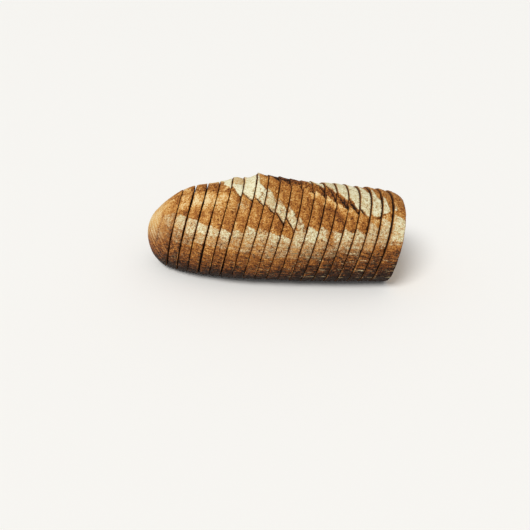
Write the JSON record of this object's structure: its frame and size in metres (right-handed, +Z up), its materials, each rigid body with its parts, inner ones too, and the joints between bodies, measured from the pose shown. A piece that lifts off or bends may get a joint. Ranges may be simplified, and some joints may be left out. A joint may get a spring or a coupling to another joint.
{
  "type": "sliced bread loaf",
  "caption": "Oval sourdough loaf cut on a slant into even slices that still stand together in the loaf's shape, with a rounded heel, diagonal scores and a floured crust.",
  "frame": {"origin": "on the resting plane, under the middle of the row's bounding box", "axes": "+X along the loaf from the rounded heel to the cut end, +Y away from the side that shows the scores, +Z up"},
  "size_m": [0.2818, 0.1235, 0.1032],
  "materials": {
    "bread": "matte"
  },
  "bodies": {
    "root": {"heel": "bread", "slice_01": "bread", "slice_02": "bread", "slice_03": "bread", "slice_04": "bread", "slice_05": "bread", "slice_06": "bread", "slice_07": "bread", "slice_08": "bread", "slice_09": "bread", "slice_10": "bread", "slice_11": "bread", "slice_12": "bread", "slice_13": "bread", "slice_14": "bread", "slice_15": "bread", "slice_16": "bread", "slice_17": "bread", "slice_18": "bread", "slice_19": "bread"}
  },
  "joints": []
}
